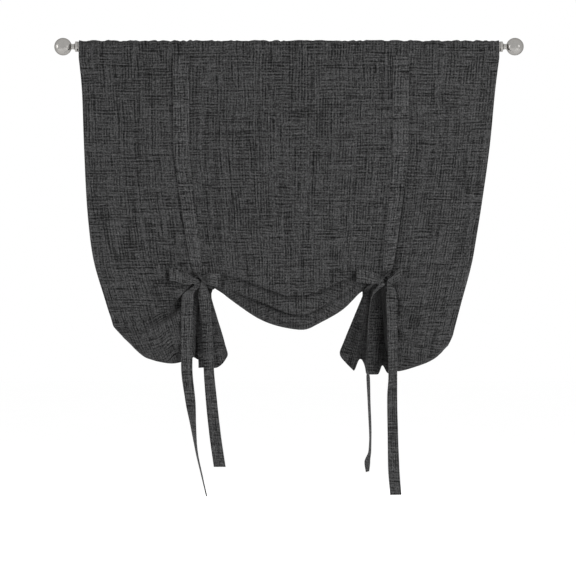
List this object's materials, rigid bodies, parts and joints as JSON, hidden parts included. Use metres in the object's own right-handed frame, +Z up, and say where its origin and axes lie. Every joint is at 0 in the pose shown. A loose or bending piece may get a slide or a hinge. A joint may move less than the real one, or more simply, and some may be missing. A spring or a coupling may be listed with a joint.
{
  "type": "tie-up curtain",
  "caption": "Dark slub-weave curtain on a pole with ball finials, gathered up by two pairs of tied straps into a swag with fanned ends.",
  "frame": {"origin": "middle of the pole's axis, where the wall brackets' common line holds it", "axes": "+X along the pole to the viewer's right, +Z up, -Y the side that faces the room"},
  "size_m": [1.1922, 0.0861, 1.1603],
  "materials": {
    "panel_cloth": "charcoal slub weave, matte",
    "strap_cloth": "charcoal slub weave, matte",
    "pole_metal": "brushed nickel",
    "finial_metal": "brushed nickel",
    "plug_metal": "plain turned metal"
  },
  "bodies": {
    "root": {"curtain_panel": "panel_cloth", "strap_front_left": "strap_cloth", "strap_front_right": "strap_cloth", "strap_back_left": "strap_cloth", "strap_back_right": "strap_cloth", "curtain_rod": "pole_metal", "finial_left": "finial_metal", "finial_right": "finial_metal", "rod_plug_left": "plug_metal", "rod_plug_right": "plug_metal"}
  },
  "joints": []
}
